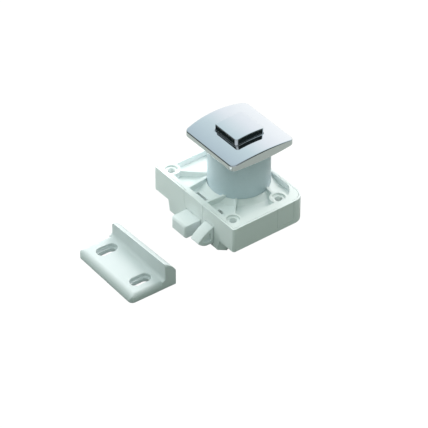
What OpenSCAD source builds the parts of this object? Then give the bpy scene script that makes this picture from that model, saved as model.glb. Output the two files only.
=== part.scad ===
// Press knob latch for a door panel, with the strike that its bolts catch
// Origin on the barrel axis at the door face, +Z out to the knob, bolts point along -Y

/* [Case] */
// Width of the case along X
case_width = 57.2; // [56.8:0.2:60]
// Front face of the case to the barrel axis
front_depth = 25.1; // [24.9:0.1:27]
// Barrel axis to the back face of the case
back_depth = 14.9; // [14.8:0.1:17]
// Height of the flange walls under the door face
flange_height = 12.4; // [12:0.1:12.8]
// Door face to the underside of the lower housing
housing_depth = 18; // [17.8:0.1:20]
// Half width of the lower housing at its top
housing_half_top = 18.4; // [18:0.1:18.8]
// Half width of the lower housing at its underside
housing_half_low = 17.4; // [17:0.1:18]
// Radius of the two back corners
back_corner = 6; // [4:0.5:8]
// Radius of the two front corners
front_corner = 1.2; // [0.6:0.1:1.6]
// Wall thickness of the rear cover
cover_wall = 1.6; // [1.4:0.1:1.8]
// Thickness of the cover's lip around the tray
lip = 0.95; // [0.85:0.05:1]
// Gap between the cover's lip and the tray's rim
seam = 0.1; // [0.1:0.05:0.2]

/* [Tray] */
// Depth of the tray floor under the door face
tray_depth = 3; // [2.4:0.1:3.2]
// Thickness of the tray floor
plate = 1.6; // [1.4:0.1:1.7]
// Case side to the edge of the tray's pocket
side_rim = 4.8; // [4.4:0.1:5]
// Case front to the edge of the tray's pocket
front_rim = 3; // [2.8:0.1:3.2]
// Case back to the edge of the tray's pocket
back_rim = 1.5; // [1.4:0.1:1.7]
// Radius of the pocket's two back corners
pocket_corner = 7.6; // [7:0.2:8]
// Thickness of the tray ribs
rib = 1.3; // [1:0.1:1.8]
// Rib tops under the door face
rib_drop = 0.3; // [0.2:0.1:0.6]
// Height of the sloped collar around the barrel's foot
collar_height = 1.5; // [1:0.1:1.6]
// Reach of that collar from the barrel
collar_reach = 3.2; // [2.8:0.1:3.4]

/* [Screw holes] */
// Screw spacing along X
screw_dx = 44.2; // [43.6:0.2:44.4]
// Screw spacing along Y
screw_dy = 25; // [24.6:0.2:25.4]
// Middle of the screw pattern in Y
screw_mid_y = -7.9; // [-8.2:0.1:-7.6]
// Screw hole diameter
screw_hole = 3.4; // [3.2:0.1:3.8]
// Outside diameter of a screw boss
boss_d = 8.2; // [7.8:0.1:8.4]
// Diameter of the shallow recess in a boss top
recess_d = 6; // [5.4:0.1:6.4]
// Depth of that recess
recess_deep = 0.8; // [0.4:0.1:1.2]

/* [Barrel] */
// Radius of the barrel
barrel_r = 14; // [13.8:0.1:14.1]
// Wall thickness of the barrel
barrel_wall = 1.6; // [1.4:0.1:1.7]
// Thickness of the door between case and rosette
door = 20.4; // [20.2:0.1:22]

/* [Rosette and knob] */
// Side of the rosette
rosette_side = 34; // [33:0.2:35]
// How far the rosette's X edges bulge
rosette_bulge = 1.2; // [0.8:0.1:1.6]
// Plan radius of the rosette corners
rosette_corner = 2.6; // [1.8:0.1:3.2]
// Height of the rosette's straight edges
rosette_edge = 2.5; // [2:0.1:2.8]
// Radius of the rosette's arched top
arch_r = 65; // [58:1:72]
// Side of the knob
knob_side = 15.6; // [15.2:0.05:15.7]
// Knob crown above the rosette crown
knob_proud = 3; // [2.4:0.1:3.4]
// Gap around the knob in the rosette
knob_gap = 0.15; // [0.1:0.05:0.2]
// Travel of the knob from pressed in to out
knob_lift = 10; // [9.6:0.1:10]
// Extra press past the held position
over_press = 1; // [0.8:0.1:1]

/* [Bolt and catch] */
// Width of the bolt
bolt_width = 10; // [9.6:0.1:10.2]
// Height of the bolt
bolt_height = 6.6; // [6.4:0.1:6.7]
// How far the bolt stands out when locked
bolt_throw = 8.4; // [8:0.1:8.4]
// Rounding of the bolt's nose edges
bolt_round = 1.2; // [0.8:0.1:1.6]
// Width of the catch
catch_width = 5.6; // [5.2:0.1:5.8]
// Middle of the catch in X
catch_x = 11.6; // [11.5:0.05:11.7]
// Height of the catch
catch_height = 8.7; // [8.5:0.1:8.7]
// Radius of the catch's upper curve
nose_top_r = 17.2; // [16.8:0.1:17.6]
// Radius of the catch's lower curve
nose_low_r = 8.6; // [8.4:0.1:8.7]
// Inset of the recess in the catch's side
catch_inset = 1.9; // [1.6:0.1:2.2]
// Gap between sliding faces
slide_gap = 0.3; // [0.2:0.05:0.35]
// Diameter of the drive pin
pin_d = 2; // [1.8:0.1:2]

/* [Strike] */
// Length of the strike along X
strike_length = 40; // [38:0.2:44]
// Width of the strike along Y
strike_width = 23.7; // [23:0.1:25]
// Base thickness of the strike
strike_base = 4; // [3.6:0.1:4.4]
// Height of the strike's lip at its middle
lip_height = 11.6; // [11.2:0.1:12.4]
// Fall of the lip's top along its length in degrees
lip_fall = 3.4; // [0:0.2:4]
// Thickness of the lip at its foot
lip_foot = 5.7; // [5.2:0.1:6]
// Slot spacing along X
slot_dx = 25; // [24:0.2:27]
// Width of the slots
slot_width = 3.8; // [3.4:0.1:4]
// End to end length of the slots
slot_length = 8.6; // [8:0.2:9]
// Middle of the strike along X
strike_x = 4.4; // [0:0.2:8]
// Middle of the strike along Y
strike_y = -64.35; // [-70:0.05:-60]
// Turn of the strike on the floor in degrees
strike_turn = -1.2; // [-5:0.2:5]

/* [Hidden] */
// node to build, or all
$fn = 64;
e = 0.02;
hx = case_width / 2;
tray_in = lip + seam;
ledge_z = -(tray_depth + plate);
flange_in_z = cover_wall - flange_height;
floor_t = 1.9;
cave_z = floor_t - housing_depth;
housing_back = back_depth - 0.4;
// tongue and tabs where the tray is flush with the outside
band_x0 = -6.6;
band_x1 = 6.4;
band_t = 1.5;
tab_y0 = -0.85;
tab_y1 = back_depth - back_corner - 0.9;
tab_z = flange_in_z + 0.3;
window_y0 = front_rim + 0.2 - front_depth;
// buttresses beside the front screws, with a channel for each screw head
buttress_x = 21.6;
buttress_run = 4.93;
buttress_long = 8;
channel_r = 2.6;
// bolt and drive
bolt_z0 = cave_z + slide_gap;
bolt_z1 = bolt_z0 + bolt_height;
band_z = bolt_z1 + slide_gap;
ratio = bolt_throw / knob_lift;
pin_y = 1;
pin_z = bolt_z0 + 3.3;
pin_r = pin_d / 2;
slot_r = pin_r + 0.05;
cheek_r = slot_r + 1.15;
cheek_x0 = 2.3;
cheek_x1 = 3.9;
slot_a = [pin_y + ratio * over_press, pin_z - over_press];
slot_b = [pin_y - bolt_throw, pin_z + knob_lift];
slot_run = norm(slot_b - slot_a);
bolt_tail = slot_a[0] + cheek_r;
bolt_nose = -front_depth - bolt_throw;
fork_y = pin_y - bolt_throw - 4.1;
// barrel
bore_r = barrel_r - barrel_wall;
flange_r = barrel_r + 2;
flange_z1 = ledge_z;
flange_z0 = ledge_z - 1.6;
// posts over the bolt stand clear of the barrel's flange, and the tray's windows end at their front
post_x = 4.15;
post_half = 0.6;
post_y1 = -flange_r - 0.6;
post_y0 = post_y1 - 2.6;
window_y1 = post_y0 + 0.6;
seat_z = ledge_z + 0.2;
way_x = 4.4;
way_y0 = -11;
way_y1 = 11.4;
spring_x = 7;
spring_wire = 0.3;
spring_r = 2.1;
// plunger
disk_z0 = 2;
disk_z1 = 5;
tube_top = 10;
tube_r = 3.3;
tube_bore = 2.6;
tube_end = 9;
tongue_x = 2;
tongue_y = 2;
cam_x = 4;
cam_y0 = 7.2;
cam_y1 = 9.2;
cam_z0 = -11.3;
groove_w = 1.35;
// follower wire
wire_r = 0.5;
wire_y = 10.5;
wire_z = -7.7;
wire_tip = 8;
wire_out = 12.9;
swing_x = 1.2;
// rosette and knob
rosette_h = rosette_side / 2;
crown_z = door + rosette_edge + arch_r - sqrt(arch_r * arch_r - rosette_h * rosette_h);
bulge_r = (rosette_h * rosette_h + rosette_bulge * rosette_bulge) / (2 * rosette_bulge);
bulge_x = rosette_h + rosette_bulge - bulge_r;
corner_y = rosette_h - rosette_corner;
corner_x = sqrt(pow(bulge_r - rosette_corner, 2) - corner_y * corner_y) + bulge_x;
tangent_y = bulge_r * corner_y / (bulge_r - rosette_corner);
spigot_long = 4.4;
spigot_z = door - spigot_long;
spigot_wall = 1.45;
arch_half = 30;
clear = 1;
knob_top = crown_z + knob_proud;
skirt_z = 13;
knob_wall = 1.2;
knob_roof = 1.6;
knob_edge = 1.3;
roof_z = knob_top - 0.6 - knob_roof;
// strike
strike_corner = 2.2;
strike_round = 3;
strike_end = 2.2;
lip_corner = 2;
lip_fillet = 1.6;
fillet_set = 0.05;
ramp_r = 10.6;
ramp_back = 3.9;
slot_y = -1.8;
slot_step = 0.85;
slot_deep = 1.8;
// catch
catch_z0 = bolt_z0;
catch_z1 = catch_z0 + catch_height;
catch_x0 = catch_x - catch_width / 2;
catch_x1 = catch_x + catch_width / 2;
catch_tail = -13;
catch_top = catch_z1 + slide_gap;
stop_long = 2.5;
nose_top = [4.95 - front_depth, catch_z1 - 16.4];
nose_low = [-1.4 - front_depth, catch_z0 + 8.3];
recess_in = 1.2;
recess_end = -front_depth - 1.3;
stop_z = flange_z0 - 0.25;
bore_end = catch_tail - 8;
coil_z = catch_z0 + catch_height / 2;
coil_r = 1.8;
coil_wire = 0.25;
coil_bore = 2.3;
wall_y = 2;

function along(p, q, s) = p + (q - p) * s;

// plan of the case, moved in by i on every side
module outline(i) {
  w = hx - i;
  y0 = i - front_depth;
  y1 = back_depth - i;
  rb = back_corner - i;
  rf = max(front_corner - i, 0.1);
  translate([-w, y0 + rf]) square([2 * w, y1 - rb - y0 - rf]);
  translate([rb - w, y0 + rf]) square([2 * (w - rb), y1 - y0 - rf]);
  translate([rf - w, y0]) square([2 * (w - rf), 2 * rf]);
  for (s = [-1, 1]) translate([s * (w - rb), y1 - rb]) circle(rb);
  for (s = [-1, 1]) translate([s * (w - rf), y0 + rf]) circle(rf);
}

module slab(z0, z1) {
  translate([0, 0, z0]) linear_extrude(z1 - z0) children();
}

module box(x0, x1, y0, y1, z0, z1) {
  translate([x0, y0, z0]) cube([x1 - x0, y1 - y0, z1 - z0]);
}

// upright wall of thickness t between two plan points
module fin(p, q, t, z0, z1) {
  translate([p[0], p[1], z0]) rotate([0, 0, atan2(q[1] - p[1], q[0] - p[0])])
    translate([0, -t / 2, 0]) cube([norm(q - p), t, z1 - z0]);
}

// profile drawn in Y and Z, carried from x0 to x1
module across(x0, x1) {
  translate([x0, 0, 0]) rotate([90, 0, 90]) linear_extrude(x1 - x0) children();
}

// round-ended slot shape from p to q
module stadium(p, q, r) {
  translate(p) rotate([0, 0, atan2(q[1] - p[1], q[0] - p[0])])
    translate([0, -r]) square([norm(q - p), 2 * r]);
  translate(p) circle(r);
  translate(q) circle(r);
}

module round_square(w, d, r) {
  translate([-w / 2 + r, -d / 2]) square([w - 2 * r, d]);
  translate([-w / 2, -d / 2 + r]) square([w, d - 2 * r]);
  for (s = [-1, 1], t = [-1, 1]) translate([s * (w / 2 - r), t * (d / 2 - r)]) circle(r);
}

module at_screws() {
  for (s = [-1, 1], t = [-1, 1])
    translate([s * screw_dx / 2, screw_mid_y + t * screw_dy / 2, 0]) children();
}

// coil along Z from z0 to z1, closed at both ends
module coil(r, w, turns, z0, z1, steps = 18, sides = 8) {
  n = turns * steps;
  c = 2.2 * w;
  h = z1 - z0 - 2 * w;
  pitch = (h - 2 * c) / (turns - 2);
  rise = [for (i = [0:n]) let(t = i / steps)
    t < 1 ? c * t : t > turns - 1 ? h - c * (turns - t) : c + pitch * (t - 1)];
  points = [for (i = [0:n], k = [0:sides - 1])
    let(a = 360 * i / steps, b = 360 * k / sides, d = r + w * cos(b))
    [d * cos(a), d * sin(a), z0 + w + rise[i] + w * sin(b)]];
  skin = [for (i = [0:n - 1], k = [0:sides - 1]) let(m = (k + 1) % sides)
    [i * sides + k, i * sides + m, (i + 1) * sides + m, (i + 1) * sides + k]];
  ends = [[for (k = [sides - 1:-1:0]) k], [for (k = [0:sides - 1]) n * sides + k]];
  polyhedron(points, concat(skin, ends), convexity = 10);
}

module tray_ribs() {
  top = -rib_drop;
  low = -tray_depth - e;
  front = tray_in - front_depth;
  boss_y = screw_mid_y - screw_dy / 2;
  boss_x = screw_dx / 2;
  back_y = screw_mid_y + screw_dy / 2;
  fin([-7.4, front], [-8.9, -10], rib, low, top);
  fin([4.9, front], [6.2, -11], rib, low, top);
  fin([-boss_x, boss_y], [-11.2, -8.6], rib, low, top);
  fin([boss_x, boss_y], [10, -9.3], rib - 0.3, low, top - 0.7);
  fin([boss_x, back_y], [11, 5.4], rib, low, top);
  fin([-boss_x, back_y], [-11, 5.4], rib, low, top);
}

// plan of the tray's pocket, wide rims at the sides and round corners at the back
module pocket() {
  w = hx - side_rim;
  y0 = front_rim - front_depth;
  y1 = back_depth - back_rim;
  r = pocket_corner;
  translate([-w, y0]) square([2 * w, y1 - r - y0]);
  translate([r - w, y0]) square([2 * (w - r), y1 - y0]);
  for (s = [-1, 1]) translate([s * (w - r), y1 - r]) circle(r);
}

module base_plate() {
  color([0.93, 0.94, 0.94])
  difference() {
    union() {
      difference() {
        slab(ledge_z, 0) outline(tray_in);
        slab(-tray_depth, 1) pocket();
      }
      intersection() {
        union() {
          tray_ribs();
          at_screws() translate([0, 0, ledge_z]) cylinder(d = boss_d, h = -ledge_z);
          translate([0, 0, -tray_depth])
            cylinder(r1 = barrel_r + collar_reach, r2 = barrel_r + 0.4, h = collar_height);
        }
        slab(ledge_z, 0) outline(tray_in + e);
      }
      intersection() {
        at_screws() translate([0, 0, flange_in_z]) cylinder(d = boss_d, h = ledge_z - flange_in_z + e);
        slab(flange_in_z, 0) outline(cover_wall + 0.1);
      }
      box(band_x0, band_x1, -front_depth, band_t - front_depth, band_z, 0);
      box(band_x0, band_x1, -front_depth, front_rim - front_depth, ledge_z, 0);
      for (s = [-1, 1]) box(s > 0 ? hx - band_t : -hx, s > 0 ? hx : band_t - hx, tab_y0, tab_y1, tab_z, 0);
      for (s = [-1, 1]) box(s * post_x - post_half, s * post_x + post_half, post_y0, post_y1, band_z, ledge_z + e);
    }
    translate([0, 0, ledge_z - 1]) cylinder(r = barrel_r + 0.1, h = 10);
    box(-5.4, 5.4, 12, back_depth, ledge_z - 1, 1);
    at_screws() translate([0, 0, flange_in_z - 1]) cylinder(d = screw_hole, h = flange_height + 2);
    at_screws() translate([0, 0, -recess_deep]) cylinder(d = recess_d, h = 1 + recess_deep);
    box(-5.2, 4.4, window_y0, window_y1, ledge_z - clear, clear - tray_depth);
    box(10.2, 13.4, window_y0, window_y1, ledge_z - clear, clear - tray_depth);
  }
}

// cross-section of the lower housing in X and Z, moved in by i at the sides
module hull_section(i, z0, z1) {
  slope = (housing_half_top - housing_half_low) / (housing_depth - flange_height);
  w0 = housing_half_low + slope * (z0 + housing_depth) - i;
  w1 = housing_half_low + slope * (z1 + housing_depth) - i;
  polygon([[-w0, z0], [w0, z0], [w1, z1], [-w1, z1]]);
}

module housing_run(i, z0, z1, y0, y1) {
  translate([0, y1, 0]) rotate([90, 0, 0]) linear_extrude(y1 - y0) hull_section(i, z0, z1);
}

// plan of the slanted buttresses at the housing's front corners
module buttresses() {
  y0 = -front_depth;
  y1 = y0 + buttress_run;
  y2 = y1 + buttress_long;
  x0 = housing_half_low;
  for (s = [-1, 1])
    polygon([[s * (x0 - 1), y0], [s * x0, y0], [s * buttress_x, y1], [s * buttress_x, y2],
      [s * (x0 - 1), y2 + buttress_run]]);
}

module rear_cover() {
  color([0.92, 0.93, 0.92]) {
    difference() {
      union() {
        slab(-flange_height, 0) outline(0);
        housing_run(0, -housing_depth, e - flange_height, -front_depth, housing_back);
        slab(-housing_depth, e - flange_height) buttresses();
      }
      slab(flange_in_z, ledge_z + e) outline(cover_wall);
      slab(ledge_z, 1) outline(lip);
      housing_run(cover_wall, cave_z, flange_in_z + e, cover_wall - front_depth, housing_back - cover_wall);
      box(band_x0 - 0.1, band_x1 + 0.1, -front_depth - 1, cover_wall + e - front_depth, band_z - 0.1, 1);
      for (s = [-1, 1])
        box(s > 0 ? hx - cover_wall - e : -hx - 1, s > 0 ? hx + 1 : cover_wall + e - hx,
          tab_y0 - 0.1, tab_y1 + 0.1, tab_z - 0.1, 1);
      box(-bolt_width / 2 - slide_gap, bolt_width / 2 + slide_gap,
        -front_depth - 1, cover_wall + e - front_depth, cave_z, band_z + e);
      box(catch_x0 - slide_gap, catch_x1 + slide_gap,
        -front_depth - 1, cover_wall + e - front_depth, cave_z, catch_top);
      at_screws() translate([0, 0, -flange_height - 1]) cylinder(d = screw_hole, h = cover_wall + 2);
      at_screws() translate([0, 0, -housing_depth - 1])
        cylinder(r = channel_r, h = housing_depth + 1 - flange_height);
      translate([0, 0, ledge_z]) cylinder(r = barrel_r + slide_gap, h = 1 - ledge_z);
    }
    cover_ribs();
  }
}

module cover_ribs() {
  low = cave_z - e;
  front = cover_wall - front_depth - e;
  guide = bolt_z1 - 0.4;
  bx = bolt_width / 2 + slide_gap;
  box(-bx - 1.2, -bx, front, 8, low, guide);
  box(bx, bx + 1.2, front, 8, low, guide);
  box(catch_x0 - slide_gap - 1.2, catch_x0 - slide_gap, front, wall_y + e, low, guide);
  box(catch_x1 + slide_gap, catch_x1 + slide_gap + 1.2, front, wall_y + e, low, guide);
  box(catch_x0 - slide_gap - 1.2, catch_x1 + slide_gap + 1.2, wall_y, wall_y + 1.6, low, flange_z0);
  box(-13.2, -11.8, -8, 8, low, flange_z0);
}

module barrel() {
  color([0.82, 0.87, 0.89])
  difference() {
    union() {
      difference() {
        translate([0, 0, flange_z1]) cylinder(r = barrel_r, h = door - flange_z1, $fn = 128);
        translate([0, 0, seat_z]) cylinder(r = bore_r, h = door - seat_z + 1, $fn = 128);
      }
      intersection() {
        translate([0, 0, flange_z0]) cylinder(r = flange_r, h = flange_z1 - flange_z0, $fn = 128);
        slab(flange_z0, flange_z1) outline(cover_wall + 0.1);
      }
      for (s = [-1, 1]) translate([s * spring_x, 0, seat_z - e]) cylinder(r = 1.4, h = 2);
      box(-3, 3, way_y1, wire_out + 0.2, wire_z - 1.2, flange_z0 + e);
    }
    box(-way_x, way_x, way_y0, way_y1, flange_z0 - 1, seat_z + 1);
    translate([0, way_y1 - 1, wire_z]) rotate([-90, 0, 0])
      cylinder(r = wire_r + 0.05, h = wire_out - way_y1 + 2 * clear);
  }
}

module rosette_plan() {
  square([2 * corner_x, 2 * rosette_h], center = true);
  intersection() {
    translate([bulge_x, 0]) circle(bulge_r, $fn = 400);
    translate([-bulge_x, 0]) circle(bulge_r, $fn = 400);
    square([4 * rosette_h, 2 * tangent_y], center = true);
  }
  for (s = [-1, 1], t = [-1, 1]) translate([s * corner_x, t * corner_y]) circle(rosette_corner);
}

// solid under a cylinder along X whose crown is at z
module arch(z) {
  translate([-arch_half, 0, z - arch_r]) rotate([0, 90, 0])
    cylinder(r = arch_r, h = 2 * arch_half, $fn = 256);
}

module rosette() {
  opening = knob_side + 2 * knob_gap;
  color([0.8, 0.82, 0.85])
  difference() {
    union() {
      intersection() {
        slab(door, crown_z + 1) rosette_plan();
        arch(crown_z);
      }
      translate([0, 0, spigot_z]) cylinder(r = bore_r - 0.05, h = door - spigot_z + e, $fn = 128);
    }
    translate([0, 0, spigot_z - clear])
      cylinder(r = bore_r - 0.05 - spigot_wall, h = door - spigot_z + clear, $fn = 128);
    slab(spigot_z, crown_z + clear) round_square(opening, opening, knob_edge + knob_gap);
  }
}

module knob_cap() {
  color([0.8, 0.82, 0.85])
  difference() {
    intersection() {
      slab(skirt_z, knob_top + 1) round_square(knob_side, knob_side, knob_edge);
      arch(knob_top);
    }
    slab(skirt_z - 1, roof_z) round_square(knob_side - 2 * knob_wall, knob_side - 2 * knob_wall, 0.5);
  }
}

module cam_groove() {
  rest = [0, 0];
  out = [swing_x, -knob_lift];
  over = along(rest, out, -1.2 * over_press / knob_lift);
  end = along(rest, out, 1.03);
  stadium(over, end, groove_w / 2);
  stadium(end, [-2.2, -5], groove_w / 2);
  stadium([-2.2, -5], [-2.2, 0.4], groove_w / 2);
  stadium([-2.2, 0.4], over, groove_w / 2);
}

module knob_stem() {
  side = knob_side - 2 * knob_wall - 0.2;
  color([0.88, 0.88, 0.86])
  difference() {
    union() {
      translate([0, 0, disk_z0]) cylinder(r = bore_r - 0.1, h = disk_z1 - disk_z0, $fn = 128);
      slab(disk_z1 - e, roof_z) round_square(side, side, 0.5);
      for (s = [-1, 1]) translate([s * spring_x, 0, disk_z1 - e])
        cylinder(r = tube_r, h = tube_top - disk_z1);
      box(-tongue_x, tongue_x, pin_y - tongue_y, pin_y + tongue_y, pin_z - 2.2, disk_z0 + e);
      box(-cam_x, cam_x, cam_y0, cam_y1, cam_z0, disk_z0 + e);
    }
    for (s = [-1, 1]) translate([s * spring_x, 0, disk_z0 - 1])
      cylinder(r = tube_bore, h = tube_end - disk_z0 + 1);
    translate([-5, pin_y, pin_z]) rotate([0, 90, 0]) cylinder(r = pin_r + 0.02, h = 10);
    translate([0, cam_y1 + 1, 0]) rotate([90, 0, 0]) linear_extrude(2.4) cam_groove();
  }
}

module drive_pin() {
  color([0.7, 0.71, 0.73])
  translate([0.2 - cheek_x1, pin_y, pin_z]) rotate([0, 90, 0]) cylinder(r = pin_r, h = 2 * cheek_x1 - 0.4);
}

module knob_spring_left() {
  color([0.6, 0.61, 0.63])
  translate([-spring_x, 0, 0]) coil(spring_r, spring_wire, 8, seat_z, tube_end);
}

module knob_spring_right() {
  color([0.6, 0.61, 0.63])
  translate([spring_x, 0, 0]) coil(spring_r, spring_wire, 8, seat_z, tube_end);
}

module cam_wire() {
  color([0.6, 0.61, 0.63])
  union() {
    translate([0, wire_y, wire_z]) rotate([-90, 0, 0]) cylinder(r = wire_r, h = wire_out - wire_y);
    translate([0, wire_y, wire_z]) cylinder(r = wire_r, h = -wire_z);
    translate([0, wire_tip, 0]) rotate([-90, 0, 0]) cylinder(r = wire_r, h = wire_y - wire_tip);
    translate([0, wire_y, wire_z]) sphere(wire_r);
    translate([0, wire_y, 0]) sphere(wire_r);
  }
}

// bolt block with rounded nose edges
module bolt_block() {
  half = bolt_width / 2;
  intersection() {
    across(-half, half) {
      translate([bolt_nose + bolt_round, bolt_z0]) square([bolt_tail - bolt_nose - bolt_round, bolt_height]);
      translate([bolt_nose, bolt_z0 + bolt_round]) square([2 * bolt_round, bolt_height - 2 * bolt_round]);
      translate([bolt_nose + bolt_round, bolt_z0 + bolt_round]) circle(bolt_round);
      translate([bolt_nose + bolt_round, bolt_z1 - bolt_round]) circle(bolt_round);
    }
    slab(bolt_z0, bolt_z1) {
      translate([-half, bolt_nose + bolt_round]) square([bolt_width, bolt_tail - bolt_nose - bolt_round]);
      translate([bolt_round - half, bolt_nose]) square([bolt_width - 2 * bolt_round, 2 * bolt_round]);
      for (s = [-1, 1]) translate([s * (half - bolt_round), bolt_nose + bolt_round]) circle(bolt_round);
    }
  }
}

module bolt() {
  reach = 0.2 / slot_run;
  color([0.94, 0.95, 0.95])
  difference() {
    union() {
      bolt_block();
      for (s = [-1, 1]) across(s > 0 ? cheek_x0 : -cheek_x1, s > 0 ? cheek_x1 : -cheek_x0)
        stadium(slot_a, slot_b, cheek_r);
    }
    box(-cheek_x0, cheek_x0, fork_y, bolt_tail + 1, bolt_z0 - 1, bolt_z1 + 1);
    across(-bolt_width, bolt_width)
      stadium(along(slot_a, slot_b, -reach), along(slot_a, slot_b, 1 + reach), slot_r);
  }
}

// catch from the side in Y and Z: two curves meet at the nose, moved in by drop
module catch_side(drop) {
  y0 = nose_top[0] - nose_top_r;
  translate([-front_depth, catch_z0 + drop]) square([catch_tail + front_depth, catch_height - 2 * drop]);
  intersection() {
    translate([y0, catch_z0 + drop]) square([e - front_depth - y0, catch_height - 2 * drop]);
    translate(nose_top) circle(nose_top_r - drop, $fn = 256);
    translate(nose_low) circle(nose_low_r - drop, $fn = 128);
  }
}

module catch() {
  stop_y = cover_wall + 0.1 - front_depth;
  color([0.94, 0.95, 0.95])
  difference() {
    union() {
      across(catch_x0, catch_x1) catch_side(0);
      box(catch_x0, catch_x1, stop_y, stop_y + stop_long, catch_z1 - e, stop_z);
    }
    translate([catch_x, bore_end, coil_z]) rotate([-90, 0, 0])
      cylinder(r = coil_bore, h = catch_tail - bore_end + 1);
    intersection() {
      across(catch_x1 - recess_in, catch_x1 + 1) catch_side(catch_inset);
      box(catch_x0, catch_x1 + 2, bolt_nose - 2, recess_end, catch_z0, catch_z1);
    }
  }
}

module catch_spring() {
  color([0.6, 0.61, 0.63])
  translate([catch_x, 0, coil_z]) rotate([-90, 0, 0]) coil(coil_r, coil_wire, 9, bore_end, wall_y);
}

// strike base from the side in Y and Z, with a rounded front edge
module base_side() {
  half = strike_width / 2;
  r = strike_round;
  translate([r - half, 0]) square([strike_width - r, strike_base]);
  translate([-half, 0]) square([r, strike_base - r]);
  intersection() {
    translate([r - half, strike_base - r]) circle(r);
    translate([-half, 0]) square([2 * r, strike_base]);
  }
}

// fillet at the lip's foot, which runs a little way into the lip
module fillet_side() {
  foot = strike_width / 2 - lip_foot;
  mid = foot + fillet_set - lip_fillet;
  difference() {
    translate([mid, 0]) square([foot + e - mid, strike_base + lip_fillet]);
    translate([mid, strike_base + lip_fillet]) circle(lip_fillet);
  }
}

// lip with a curved ramp on its back
module lip_side() {
  foot = strike_width / 2 - lip_foot;
  top = lip_height - sqrt(ramp_r * ramp_r - ramp_back * ramp_back);
  intersection() {
    translate([foot, -strike_base]) square([lip_foot, lip_height + 2 * strike_base]);
    union() {
      translate([foot - ramp_back, top]) circle(ramp_r, $fn = 128);
      translate([foot, -strike_base]) square([lip_foot, 2 * strike_base]);
    }
  }
}

// end-on outline in X and Z with the corner heights z0 and z1, carried along Y
module ends(z0, z1, r) {
  half = strike_length / 2;
  translate([0, strike_width, 0]) rotate([90, 0, 0]) linear_extrude(2 * strike_width) {
    translate([r - half, 0]) square([strike_length - 2 * r, 2 * lip_height]);
    translate([-half, 0]) square([2 * r, z0 - r]);
    translate([half - 2 * r, 0]) square([2 * r, z1 - r]);
    translate([r - half, z0 - r]) circle(r);
    translate([half - r, z1 - r]) circle(r);
  }
}

module strike_body() {
  half = strike_length / 2;
  ridge = lip_height / cos(lip_fall) + e;
  fall = (half - lip_corner) * tan(lip_fall);
  intersection() {
    across(-half, half) base_side();
    ends(strike_base, strike_base, strike_end);
  }
  across(-half, half) fillet_side();
  intersection() {
    rotate([0, -lip_fall, 0]) across(-half - 2, half + 2) lip_side();
    ends(ridge - fall, ridge + fall, lip_corner);
  }
}

module strike() {
  wide = slot_width + 2 * slot_step;
  long = slot_length + 2 * slot_step;
  color([0.93, 0.94, 0.94])
  translate([strike_x, strike_y, -housing_depth]) rotate([0, 0, strike_turn])
  difference() {
    intersection() {
      strike_body();
      slab(0, 2 * lip_height) {
        translate([0, 1.5]) round_square(strike_length, strike_width - 3, 0.4);
        translate([0, -2]) round_square(strike_length, strike_width - 4, strike_corner);
      }
    }
    for (s = [-1, 1]) translate([s * slot_dx / 2, slot_y, -1]) linear_extrude(lip_height)
      stadium([0, -(slot_length - slot_width) / 2], [0, (slot_length - slot_width) / 2], slot_width / 2);
    for (s = [-1, 1]) translate([s * slot_dx / 2, slot_y, strike_base - slot_deep]) linear_extrude(lip_height)
      stadium([0, -(long - wide) / 2], [0, (long - wide) / 2], wide / 2);
  }
}

base_plate();
rear_cover();
barrel();
rosette();
knob_cap();
knob_stem();
drive_pin();
knob_spring_left();
knob_spring_right();
cam_wire();
bolt();
catch();
catch_spring();
strike();
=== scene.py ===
import math
import bpy
import numpy as np
from mathutils import Matrix, Vector


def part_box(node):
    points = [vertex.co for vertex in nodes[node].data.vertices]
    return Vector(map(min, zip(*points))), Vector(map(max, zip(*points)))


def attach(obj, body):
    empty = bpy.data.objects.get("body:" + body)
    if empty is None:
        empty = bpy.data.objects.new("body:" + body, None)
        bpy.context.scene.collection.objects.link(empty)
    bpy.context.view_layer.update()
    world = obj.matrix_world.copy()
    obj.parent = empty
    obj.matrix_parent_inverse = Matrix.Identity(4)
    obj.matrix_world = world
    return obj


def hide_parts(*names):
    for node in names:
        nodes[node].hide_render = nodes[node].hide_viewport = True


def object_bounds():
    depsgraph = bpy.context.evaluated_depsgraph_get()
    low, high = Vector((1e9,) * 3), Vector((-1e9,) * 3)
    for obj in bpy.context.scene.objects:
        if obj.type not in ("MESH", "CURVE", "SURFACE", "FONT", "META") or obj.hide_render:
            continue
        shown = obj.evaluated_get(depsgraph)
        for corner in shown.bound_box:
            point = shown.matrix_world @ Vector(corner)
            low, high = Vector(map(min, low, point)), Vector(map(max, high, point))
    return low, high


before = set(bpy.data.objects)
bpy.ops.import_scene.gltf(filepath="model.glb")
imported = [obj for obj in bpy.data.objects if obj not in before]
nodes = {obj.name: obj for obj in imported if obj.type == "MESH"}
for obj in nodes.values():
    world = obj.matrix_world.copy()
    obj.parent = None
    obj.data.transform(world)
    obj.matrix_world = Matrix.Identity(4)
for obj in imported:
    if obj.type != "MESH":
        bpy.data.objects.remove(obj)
cadLow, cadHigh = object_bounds()
mm = 0.001
print("frame loaded:", len(nodes), "nodes")


# camera of the photograph: turn, height and roll in degrees, lengths in mm, clip in metres
cameraView = {
    "azimuth": 52.498,
    "elevation": 38.522,
    "roll": 0.077,
    "distance": 1355.3,
    "target": (-22.533, 3.525, -37.048),
    "lens": 252.63,
    "sensor": 36.0,
    "clip": (0.05, 20),
}


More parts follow.
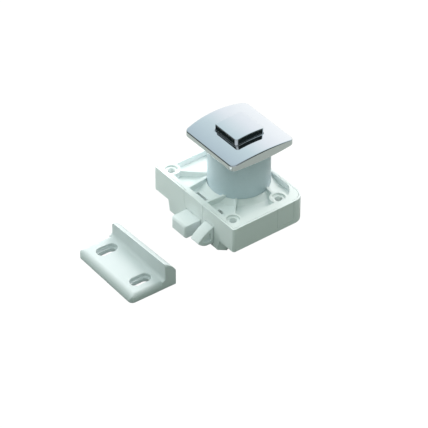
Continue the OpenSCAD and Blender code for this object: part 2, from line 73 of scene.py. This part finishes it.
def placeCamera(view):
    # the camera stands on a sphere round its target and looks at it
    az = math.radians(view["azimuth"])
    el = math.radians(view["elevation"])
    back = Vector((math.sin(az) * math.cos(el), -math.cos(az) * math.cos(el), math.sin(el)))
    right = Vector((math.cos(az), math.sin(az), 0))
    up = back.cross(right)
    turn = Matrix((right, up, back)).transposed().to_4x4()
    roll = Matrix.Rotation(math.radians(view["roll"]), 4, "Z")
    lensData = bpy.data.cameras.new("photoCamera")
    lensData.lens = view["lens"]
    lensData.sensor_width = view["sensor"]
    lensData.clip_start, lensData.clip_end = view["clip"]
    camera = bpy.data.objects.new("photoCamera", lensData)
    place = (Vector(view["target"]) + back * view["distance"]) * mm
    camera.matrix_world = Matrix.Translation(place) @ turn @ roll
    bpy.context.scene.collection.objects.link(camera)
    bpy.context.scene.camera = camera


placeCamera(cameraView)


# shader helpers
def startMaterial(name):
    material = bpy.data.materials.new(name)
    material.use_nodes = True
    tree = material.node_tree
    shader = tree.nodes["Principled BSDF"]
    return material, tree, shader


def addNode(tree, kind, **inputs):
    node = tree.nodes.new(kind)
    for key, value in inputs.items():
        node.inputs[key.replace("_", " ")].default_value = value
    return node


def addMath(tree, operation):
    node = tree.nodes.new("ShaderNodeMath")
    node.operation = operation
    return node


def addBlend(tree):
    node = tree.nodes.new("ShaderNodeMix")
    node.data_type = "RGBA"
    return node


def rampStops(ramp, stops):
    # stops are (position, colour)
    while len(ramp.elements) < len(stops):
        ramp.elements.new(0.5)
    for element, (place, tone) in zip(ramp.elements, stops):
        element.position = place
        element.color = (*tone, 1)


# grain of a moulding tool: broad clouds, fine sparks and what the sparks add to the roughness
mouldGrain = {
    "cloud": dict(Scale=110.0, Detail=3.0, Roughness=0.55),
    "spark": dict(Scale=2600.0, Detail=2.0, Roughness=0.6),
    "roughness": dict(From_Min=0.3, From_Max=0.7, To_Min=-0.05, To_Max=0.05),
}
mouldInputs = {"Tint": "Color", "Shade": "Color", "Gloss": "Float", "Grain": "Float"}
mouldOutputs = {"Color": "Color", "Roughness": "Float", "Height": "Float"}


def makeMouldGroup(grain):
    # fine spark grain plus broad cloudiness, on object coordinates
    group = bpy.data.node_groups.new("mouldGrain", "ShaderNodeTree")
    face = group.interface
    for way, sockets in (("INPUT", mouldInputs), ("OUTPUT", mouldOutputs)):
        for name, kind in sockets.items():
            face.new_socket(name, in_out=way, socket_type="NodeSocket" + kind)
    given = group.nodes.new("NodeGroupInput")
    result = group.nodes.new("NodeGroupOutput")
    place = group.nodes.new("ShaderNodeTexCoord")
    cloud = addNode(group, "ShaderNodeTexNoise", **grain["cloud"])
    spark = addNode(group, "ShaderNodeTexNoise", **grain["spark"])
    blend = addBlend(group)
    spread = addNode(group, "ShaderNodeMapRange", **grain["roughness"])
    rough = addMath(group, "ADD")
    height = addMath(group, "MULTIPLY")
    link = group.links.new
    for noise in (cloud, spark):
        link(place.outputs["Object"], noise.inputs["Vector"])
    link(cloud.outputs["Fac"], blend.inputs["Factor"])
    link(given.outputs["Shade"], blend.inputs["A"])
    link(given.outputs["Tint"], blend.inputs["B"])
    link(blend.outputs["Result"], result.inputs["Color"])
    link(spark.outputs["Fac"], spread.inputs["Value"])
    link(spread.outputs["Result"], rough.inputs[0])
    link(given.outputs["Gloss"], rough.inputs[1])
    link(rough.outputs["Value"], result.inputs["Roughness"])
    link(spark.outputs["Fac"], height.inputs[0])
    link(given.outputs["Grain"], height.inputs[1])
    link(height.outputs["Value"], result.inputs["Height"])
    return group


mouldGroup = makeMouldGroup(mouldGrain)


# moulded plastics: two close tints, roughness, grain height in mm
plasticFinish = {
    "casePlastic": dict(
        tint=(0.875, 0.92, 0.92), shade=(0.85, 0.90, 0.90), gloss=0.42, grain=0.012,
    ),
    # barrel tint: bluish and darker than the case; the darkening is painted shade for the
    # rosette's shadow on the barrel
    "barrelPaintedShadePlastic": dict(
        tint=(0.64, 0.745, 0.81), shade=(0.615, 0.72, 0.785), gloss=0.30, grain=0.002,
    ),
    # bolt and catch tint: a little lighter than the case, painted light that brightens their
    # sides in the shade of the case
    "boltPaintedLightPlastic": dict(
        tint=(0.90, 0.935, 0.95), shade=(0.88, 0.92, 0.935), gloss=0.30, grain=0.003,
    ),
    # strike tint: the case's white darkened, painted shade that dims the strike's top and lip
    "strikePaintedShadePlastic": dict(
        tint=(0.725, 0.77, 0.785), shade=(0.695, 0.745, 0.76), gloss=0.36, grain=0.010,
    ),
    "innerPlastic": dict(
        tint=(0.70, 0.70, 0.66), shade=(0.64, 0.64, 0.60), gloss=0.40, grain=0.006,
    ),
}
plasticSurface = {"bumpStrength": 0.5, "bumpDistance": 1.0, "ior": 1.49}


def makePlastic(name, finish):
    material, tree, shader = startMaterial(name)
    mould = tree.nodes.new("ShaderNodeGroup")
    mould.node_tree = mouldGroup
    mould.inputs["Tint"].default_value = (*finish["tint"], 1)
    mould.inputs["Shade"].default_value = (*finish["shade"], 1)
    mould.inputs["Gloss"].default_value = finish["gloss"]
    mould.inputs["Grain"].default_value = finish["grain"] * mm
    bump = tree.nodes.new("ShaderNodeBump")
    bump.inputs["Strength"].default_value = plasticSurface["bumpStrength"]
    bump.inputs["Distance"].default_value = plasticSurface["bumpDistance"]
    tree.links.new(mould.outputs["Color"], shader.inputs["Base Color"])
    tree.links.new(mould.outputs["Roughness"], shader.inputs["Roughness"])
    tree.links.new(mould.outputs["Height"], bump.inputs["Height"])
    tree.links.new(bump.outputs["Normal"], shader.inputs["Normal"])
    shader.inputs["IOR"].default_value = plasticSurface["ior"]
    return material


# metals, polished chrome and drawn spring steel: two tints, the least and the most roughness
metalFinish = {
    "chrome": dict(
        tint=(0.84, 0.85, 0.86), shade=(0.80, 0.815, 0.83), smooth=0.03, haze=0.07,
    ),
    "springSteel": dict(
        tint=(0.62, 0.63, 0.64), shade=(0.42, 0.43, 0.45), smooth=0.22, haze=0.38,
    ),
}
metalHaze = dict(Scale=180.0, Detail=4.0, Roughness=0.6)
metalHazeRange = dict(From_Min=0.35, From_Max=0.7)


def makeMetal(name, finish):
    # a faint haze in broad patches, as handling leaves on metal
    material, tree, shader = startMaterial(name)
    place = tree.nodes.new("ShaderNodeTexCoord")
    haze = addNode(tree, "ShaderNodeTexNoise", **metalHaze)
    blend = addBlend(tree)
    blend.inputs["A"].default_value = (*finish["shade"], 1)
    blend.inputs["B"].default_value = (*finish["tint"], 1)
    spread = addNode(tree, "ShaderNodeMapRange", **metalHazeRange)
    spread.inputs["To Min"].default_value = finish["smooth"]
    spread.inputs["To Max"].default_value = finish["haze"]
    tree.links.new(place.outputs["Object"], haze.inputs["Vector"])
    tree.links.new(haze.outputs["Fac"], blend.inputs["Factor"])
    tree.links.new(haze.outputs["Fac"], spread.inputs["Value"])
    tree.links.new(blend.outputs["Result"], shader.inputs["Base Color"])
    tree.links.new(spread.outputs["Result"], shader.inputs["Roughness"])
    shader.inputs["Metallic"].default_value = 1.0
    return material


finishes = {name: makePlastic(name, finish) for name, finish in plasticFinish.items()}
finishes.update({name: makeMetal(name, finish) for name, finish in metalFinish.items()})
print("finishes made:", len(finishes))


# which finish each CAD node wears
nodeFinish = {
    "base_plate": "casePlastic",
    "rear_cover": "casePlastic",
    "barrel": "barrelPaintedShadePlastic",
    "rosette": "chrome",
    "knob_cap": "chrome",
    "knob_stem": "innerPlastic",
    "bolt": "boltPaintedLightPlastic",
    "catch": "boltPaintedLightPlastic",
    "strike": "strikePaintedShadePlastic",
    "drive_pin": "springSteel",
    "cam_wire": "springSteel",
    "knob_spring_left": "springSteel",
    "knob_spring_right": "springSteel",
    "catch_spring": "springSteel",
}

# radius in mm of the softened edges on each moulding
softEdges = {"base_plate": 0.09, "rear_cover": 0.12, "bolt": 0.3, "catch": 0.3}
# how edges are found and rounded: merge distance in mm, angles in degrees
edgeRule = {"merge": 0.001, "flatAngle": 0.5, "edgeAngle": 35, "segments": 3}
# the strike's curved lip gets a new even skin that is then smoothed
strikeSkin = {"depth": 8, "scale": 0.65, "factor": 0.5, "iterations": 6}


def dress(obj, finish):
    obj.data.materials.clear()
    obj.data.materials.append(finishes[finish])


def weldCorners(obj):
    weld = obj.modifiers.new("weldCorners", "WELD")
    weld.merge_threshold = edgeRule["merge"] * mm


def softenEdges(obj, radius):
    # flat fields are joined first, so that only true edges are rounded
    weldCorners(obj)
    join = obj.modifiers.new("joinFlats", "DECIMATE")
    join.decimate_type = "DISSOLVE"
    join.angle_limit = math.radians(edgeRule["flatAngle"])
    bevel = obj.modifiers.new("softEdges", "BEVEL")
    bevel.width = radius * mm
    bevel.segments = edgeRule["segments"]
    bevel.limit_method = "ANGLE"
    bevel.angle_limit = math.radians(edgeRule["edgeAngle"])
    bevel.use_clamp_overlap = False
    bevel.loop_slide = False
    bevel.harden_normals = True


def softenSkin(obj, values):
    weldCorners(obj)
    skin = obj.modifiers.new("evenSkin", "REMESH")
    skin.mode = "SHARP"
    skin.octree_depth = values["depth"]
    skin.scale = values["scale"]
    skin.use_remove_disconnected = False
    skin.use_smooth_shade = True
    soften = obj.modifiers.new("softSkin", "SMOOTH")
    soften.factor = values["factor"]
    soften.iterations = values["iterations"]


for nodeName, finish in nodeFinish.items():
    dress(nodes[nodeName], finish)
for nodeName, radius in softEdges.items():
    softenEdges(nodes[nodeName], radius)
softenSkin(nodes["strike"], strikeSkin)
print("CAD nodes dressed")


# surfaces made of rings: a closed outline of points carried through many levels
sharpAngle = math.radians(40)


def ringMesh(name, rings, finish, closed=False, poles=()):
    # rings is (levels, points, 3) in mm; each pair of rings is joined by a row of quads
    levels, count = rings.shape[:2]
    grid = np.arange(levels * count).reshape(levels, count)
    upper = np.roll(grid, -1, axis=0) if closed else grid[1:]
    lower = grid if closed else grid[:-1]
    quads = np.stack([lower, np.roll(lower, -1, 1), np.roll(upper, -1, 1), upper], -1)
    quads = quads.reshape(-1, 4)
    points = rings.reshape(-1, 3)
    faces = quads.tolist()
    for ring, tip in zip((grid[0], grid[-1]), poles):
        centre = len(points)
        points = np.vstack([points, tip])
        turn = (np.roll(ring, -1), ring) if ring is grid[0] else (ring, np.roll(ring, -1))
        fan = np.stack([*turn, np.full(count, centre)], -1)
        faces += fan.tolist()
    mesh = bpy.data.meshes.new(name)
    mesh.from_pydata((points * mm).tolist(), [], faces)
    # a negative volume means that the faces look inward
    corners = points[quads]
    across = np.cross(corners[:, 1], corners[:, 2] + corners[:, 3])
    volume = np.einsum("ij,ij->i", corners[:, 0], across).sum()
    if volume < 0:
        mesh.flip_normals()
    mesh.polygons.foreach_set("use_smooth", np.ones(len(mesh.polygons), bool))
    mesh.set_sharp_from_angle(angle=sharpAngle)
    obj = bpy.data.objects.new(name, mesh)
    bpy.context.scene.collection.objects.link(obj)
    dress(obj, finish)
    return obj


def arcPoints(centre, radius, start, end, count):
    # points on an arc, without its last one; angles in degrees
    turn = np.radians(np.linspace(start, end, count, endpoint=False))
    return np.stack([centre[0] + radius * np.cos(turn), centre[1] + radius * np.sin(turn)], 1)


def linePoints(start, end, count):
    share = np.linspace(0, 1, count, endpoint=False)[:, None]
    return np.array(start) * (1 - share) + np.array(end) * share


# points along each side and round each corner of an outline, and rings across each surface
sidePoints = 30
cornerPoints = 14
rimSteps = 8
holeSteps = 6
beadSteps = 10
fieldSteps = 13
footSteps = 5


def squareOutline(half, corner):
    # square with round corners, counter-clockwise from its right side
    flat = half - corner
    rows = []
    for quarter in range(4):
        turn = math.radians(90 * quarter)
        cos, sin = math.cos(turn), math.sin(turn)
        spin = np.array([[cos, sin], [-sin, cos]])
        side = linePoints((half, -flat), (half, flat), sidePoints)
        bend = arcPoints((flat, flat), corner, 0, 90, cornerPoints)
        rows.append(np.vstack([side, bend]) @ spin)
    return np.vstack(rows)


# rosette: sizes in mm
rosetteForm = {
    "half": 17.0,
    "bulge": 1.2,
    "corner": 2.6,
    "archRadius": 65.0,
    "rimRound": 0.5,
    "holeRound": 0.2,
    "beadHeight": 0.07,
    "beadWidth": 0.26,
    "footRound": 0.3,
    "holeHalf": 7.95,
    "holeCorner": 1.45,
    "holeLift": 0.02,
    "undersideShares": (0.35, 0.7, 1.0),
    "spigotOuter": 12.35,
    "spigotInner": 10.9,
    "spigotChamfer": 0.25,
}


def rosetteOutline(form, inset):
    # straight front and back, bulged sides, round corners that run into both
    half, bulge = form["half"], form["bulge"]
    bigRadius = (half * half + bulge * bulge) / (2 * bulge)
    bigCentre = half + bulge - bigRadius
    cornerY = half - form["corner"]
    cornerX = math.sqrt((bigRadius - form["corner"]) ** 2 - cornerY**2) + bigCentre
    lean = math.degrees(math.atan2(cornerY, cornerX - bigCentre))
    big = bigRadius - inset
    small = form["corner"] - inset
    flat = half - inset
    return np.vstack([
        arcPoints((bigCentre, 0), big, -lean, lean, sidePoints),
        arcPoints((cornerX, cornerY), small, lean, 90, cornerPoints),
        linePoints((cornerX, flat), (-cornerX, flat), sidePoints),
        arcPoints((-cornerX, cornerY), small, 90, 180 - lean, cornerPoints),
        arcPoints((-bigCentre, 0), big, 180 - lean, 180 + lean, sidePoints),
        arcPoints((-cornerX, -cornerY), small, 180 + lean, 270, cornerPoints),
        linePoints((-cornerX, -flat), (cornerX, -flat), sidePoints),
        arcPoints((cornerX, -cornerY), small, 270, 360 - lean, cornerPoints),
    ])


def archHeight(y, crown, radius):
    # round arch that runs along X: z = crown - radius + sqrt(radius^2 - y^2)
    return crown - radius + np.sqrt(radius * radius - y * y)


def level(outline, z):
    return np.column_stack([outline, np.broadcast_to(z, len(outline))])


def rimRings(outline, outward, crown, radius, roundness, steps):
    # quarter round from the arch to the upright side; it starts at the arch's own slope
    slope = np.arctan(np.abs(outline[:, 1]) / np.sqrt(radius**2 - outline[:, 1] ** 2))
    slope = slope * np.clip(np.sign(outline[:, 1]) * outward[:, 1], -1, 1)
    start = outline - outward * (roundness * (1 - np.sin(slope)))[:, None]
    top = archHeight(start[:, 1], crown, radius)
    rings = []
    for share in np.linspace(0, 1, steps):
        turn = slope + (np.pi / 2 - slope) * share
        edge = outline - outward * (roundness * (1 - np.sin(turn)))[:, None]
        rings.append(level(edge, top - roundness * (np.cos(slope) - np.cos(turn))))
    return rings


def makeRosette(form):
    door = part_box("barrel")[1].z / mm
    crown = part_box("rosette")[1].z / mm
    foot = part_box("rosette")[0].z / mm
    radius = form["archRadius"]
    outer = rosetteOutline(form, 0)
    outward = outer - rosetteOutline(form, 1)
    hole = squareOutline(form["holeHalf"], form["holeCorner"])
    inward = hole - squareOutline(form["holeHalf"] + 1, form["holeCorner"] + 1)
    ray = hole / np.linalg.norm(hole, axis=1)[:, None]
    beadTop = crown + form["beadHeight"]
    holeEdge = rimRings(hole, inward, beadTop, radius, form["holeRound"], holeSteps)
    outerEdge = rimRings(outer, outward, crown, radius, form["rimRound"], rimSteps)
    rings = [level(hole, door + form["holeLift"])] + holeEdge[::-1]
    # turned-up edge of the opening: height = bead * (1 + cos(pi * share)) / 2
    for share in np.linspace(0, 1, beadSteps + 1)[1:]:
        field = holeEdge[0][:, :2] - inward * form["beadWidth"] * share
        bead = form["beadHeight"] * (1 + math.cos(math.pi * share)) / 2
        rings.append(level(field, archHeight(field[:, 1], crown, radius) + bead))
    beadFoot = rings[-1][:, :2]
    for share in np.linspace(0, 1, fieldSteps + 1)[1:-1]:
        field = beadFoot * (1 - share) + outerEdge[0][:, :2] * share
        rings.append(level(field, archHeight(field[:, 1], crown, radius)))
    rings += outerEdge
    for turn in np.linspace(0, np.pi / 2, footSteps):
        inset = form["footRound"] * (1 - np.cos(turn))
        lift = form["footRound"] * (1 - np.sin(turn))
        rings.append(level(outer - outward * inset, door + lift))
    for share in form["undersideShares"]:
        field = rings[-1][:, :2] * (1 - share) + ray * form["spigotOuter"] * share
        rings.append(level(field, door))
    rings.append(level(ray * form["spigotOuter"], foot + form["spigotChamfer"]))
    rings.append(level(ray * (form["spigotOuter"] - form["spigotChamfer"]), foot))
    rings.append(level(ray * form["spigotInner"], foot))
    rings.append(level(ray * form["spigotInner"], door))
    plate = ringMesh("rosettePlate", np.array(rings), "chrome", closed=True)
    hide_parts("rosette")
    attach(plate, "case")


# push knob: sizes in mm
knobForm = {
    "half": 7.8,
    "corner": 1.3,
    "rimRound": 0.35,
    "wall": 1.2,
    "innerCorner": 0.5,
    "roof": 2.2,
    "roofRing": 0.5,
}


def makeKnob(form):
    low, high = (corner.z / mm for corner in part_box("knob_cap"))
    radius = rosetteForm["archRadius"]
    outer = squareOutline(form["half"], form["corner"])
    outward = squareOutline(form["half"] + 1, form["corner"] + 1) - outer
    inner = squareOutline(form["half"] - form["wall"], form["innerCorner"])
    edge = rimRings(outer, outward, high, radius, form["rimRound"], rimSteps)
    rings = []
    for share in np.linspace(0, 1, fieldSteps + 1)[1:-1]:
        field = edge[0][:, :2] * share
        rings.append(level(field, archHeight(field[:, 1], high, radius)))
    rings += edge
    roof = high - form["roof"]
    rings += [level(outer, low), level(inner, low), level(inner, roof)]
    rings.append(level(inner * form["roofRing"], roof))
    tips = (np.array([[0, 0, high]]), np.array([[0, 0, roof]]))
    cap = ringMesh("pushKnob", np.array(rings), "chrome", poles=tips)
    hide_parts("knob_cap")
    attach(cap, "knob")


makeRosette(rosetteForm)
makeKnob(knobForm)
print("chrome pieces made")


# studio: floor under the latch and its strike, sizes in metres
studio = {
    "floorHalf": 3.0,
    "floorTone": (0.30, 0.33, 0.31),
    "floorRoughness": 0.9,
    "floorShadow": 0.06,
    "floorGlow": 1.10,
    "floorShine": 0.1,
}


def makeFloor(values):
    half = values["floorHalf"]
    plan = ((-half, -half), (half, -half), (half, half), (-half, half))
    corners = [(x, y, cadLow.z) for x, y in plan]
    mesh = bpy.data.meshes.new("floor")
    mesh.from_pydata(corners, [], [(0, 1, 2, 3)])
    floor = bpy.data.objects.new("floor", mesh)
    bpy.context.scene.collection.objects.link(floor)
    material, tree, shader = startMaterial("floorWhite")
    shader.inputs["Base Color"].default_value = (*values["floorTone"], 1)
    shader.inputs["Roughness"].default_value = values["floorRoughness"]
    shader.inputs["Specular IOR Level"].default_value = 0.0
    # seen directly the floor is nearly white with a faint shadow, in the chrome it glows little
    rays = tree.nodes.new("ShaderNodeLightPath")
    shine = addMath(tree, "MULTIPLY")
    shine.inputs[1].default_value = values["floorShine"]
    seen = addMath(tree, "MAXIMUM")
    share = addMath(tree, "MULTIPLY")
    share.inputs[1].default_value = 1 - values["floorShadow"]
    glow = addNode(tree, "ShaderNodeEmission", Color=(1, 1, 1, 1), Strength=values["floorGlow"])
    mix = tree.nodes.new("ShaderNodeMixShader")
    output = tree.nodes["Material Output"]
    link = tree.links.new
    link(rays.outputs["Is Camera Ray"], seen.inputs[0])
    link(rays.outputs["Is Glossy Ray"], shine.inputs[0])
    link(shine.outputs["Value"], seen.inputs[1])
    link(seen.outputs["Value"], share.inputs[0])
    link(share.outputs["Value"], mix.inputs[0])
    link(shader.outputs["BSDF"], mix.inputs[1])
    link(glow.outputs["Emission"], mix.inputs[2])
    link(mix.outputs["Shader"], output.inputs["Surface"])
    mesh.materials.append(material)


# room seen by the gloss: white backdrop behind the latch, dim room at the sides, grey ceiling
room = {
    "backdropAzimuth": 127.6,
    "ambient": (0.235, 0.295, 0.255),
    "glossStrength": 1.25,
    "glossStops": [
        (0.0, (0.52, 0.56, 0.60)),
        (0.2, (0.36, 0.40, 0.43)),
        (0.36, (0.008, 0.013, 0.013)),
        (0.625, (0.008, 0.013, 0.013)),
        (0.70, (0.36, 0.44, 0.485)),
        (0.76, (0.43, 0.53, 0.585)),
        (0.84, (0.53, 0.64, 0.68)),
        (0.91, (0.73, 0.775, 0.82)),
        (0.97, (0.84, 0.87, 0.895)),
        (1.0, (0.92, 0.935, 0.95)),
    ],
    "ceiling": (0.16, 0.185, 0.195),
    "ceilingFrom": 0.78,
    "ceilingFull": 0.92,
}


def makeWorld(values):
    world = bpy.data.worlds.new("studioWorld")
    bpy.context.scene.world = world
    world.use_nodes = True
    tree = world.node_tree
    tree.nodes.clear()
    output = tree.nodes.new("ShaderNodeOutputWorld")
    place = tree.nodes.new("ShaderNodeTexCoord")
    toward = tree.nodes.new("ShaderNodeVectorMath")
    toward.operation = "DOT_PRODUCT"
    az = math.radians(values["backdropAzimuth"])
    toward.inputs[1].default_value = (math.cos(az), math.sin(az), 0)
    spread = addNode(tree, "ShaderNodeMapRange", From_Min=-1.0, From_Max=1.0)
    ramp = tree.nodes.new("ShaderNodeValToRGB")
    rampStops(ramp.color_ramp, values["glossStops"])
    # a grey ceiling lightens the dim room high above the latch
    axes = tree.nodes.new("ShaderNodeSeparateXYZ")
    high = tree.nodes.new("ShaderNodeMapRange")
    high.interpolation_type = "SMOOTHSTEP"
    high.inputs["From Min"].default_value = values["ceilingFrom"]
    high.inputs["From Max"].default_value = values["ceilingFull"]
    ceiling = addBlend(tree)
    ceiling.blend_type = "LIGHTEN"
    ceiling.inputs["B"].default_value = (*values["ceiling"], 1)
    rays = tree.nodes.new("ShaderNodeLightPath")
    bright = addNode(tree, "ShaderNodeBackground", Strength=values["glossStrength"])
    white = addNode(tree, "ShaderNodeBackground", Color=(1, 1, 1, 1), Strength=1.0)
    ambient = addNode(tree, "ShaderNodeBackground", Color=(*values["ambient"], 1), Strength=1.0)
    glossMix = tree.nodes.new("ShaderNodeMixShader")
    seenMix = tree.nodes.new("ShaderNodeMixShader")
    gloss = addMath(tree, "MAXIMUM")
    link = tree.links.new
    link(place.outputs["Generated"], toward.inputs[0])
    link(toward.outputs["Value"], spread.inputs["Value"])
    link(spread.outputs["Result"], ramp.inputs["Fac"])
    link(place.outputs["Generated"], axes.inputs[0])
    link(axes.outputs["Z"], high.inputs["Value"])
    link(high.outputs["Result"], ceiling.inputs["Factor"])
    link(ramp.outputs["Color"], ceiling.inputs["A"])
    link(ceiling.outputs["Result"], bright.inputs["Color"])
    link(rays.outputs["Is Glossy Ray"], gloss.inputs[0])
    link(rays.outputs["Is Transmission Ray"], gloss.inputs[1])
    link(gloss.outputs["Value"], glossMix.inputs[0])
    link(ambient.outputs["Background"], glossMix.inputs[1])
    link(bright.outputs["Background"], glossMix.inputs[2])
    link(rays.outputs["Is Camera Ray"], seenMix.inputs[0])
    link(glossMix.outputs["Shader"], seenMix.inputs[1])
    link(white.outputs["Background"], seenMix.inputs[2])
    link(seenMix.outputs["Shader"], output.inputs["Surface"])


# soft boxes: turn and height of the direction in degrees, distance and side in metres, watts
softBoxes = {
    "backBox": dict(
        turn=114, height=46, distance=0.60, side=0.50, power=3.55, tint=(1.0, 0.96, 0.96),
    ),
    "sideBox": dict(
        turn=200, height=25, distance=0.25, side=0.25, power=0.48, tint=(0.95, 1.0, 1.0),
    ),
    "topBox": dict(
        turn=130, height=50, distance=0.25, side=0.25, power=0.10, tint=(1.0, 0.97, 0.97),
    ),
    "frontBox": dict(
        turn=255, height=60, distance=0.60, side=0.50, power=0.46, tint=(0.92, 1.0, 1.0),
    ),
    "rightBox": dict(
        turn=310, height=64, distance=0.60, side=0.50, power=0.48, tint=(0.82, 1.0, 0.93),
    ),
}


def makeSoftBox(name, values):
    lamp = bpy.data.lights.new(name, "AREA")
    lamp.energy = values["power"]
    lamp.size = values["side"]
    lamp.color = values["tint"]
    turn, height = math.radians(values["turn"]), math.radians(values["height"])
    flat = math.cos(height)
    toward = Vector((flat * math.cos(turn), flat * math.sin(turn), math.sin(height)))
    holder = bpy.data.objects.new(name, lamp)
    aim = toward.to_track_quat("Z", "Y").to_matrix().to_4x4()
    holder.matrix_world = Matrix.Translation(toward * values["distance"]) @ aim
    # the gloss shows the room, not the lamps
    holder.visible_glossy = False
    holder.visible_camera = False
    bpy.context.scene.collection.objects.link(holder)


makeFloor(studio)
makeWorld(room)
for boxName, boxValues in softBoxes.items():
    makeSoftBox(boxName, boxValues)

bpy.context.scene.view_settings.view_transform = "Standard"
print("studio ready")
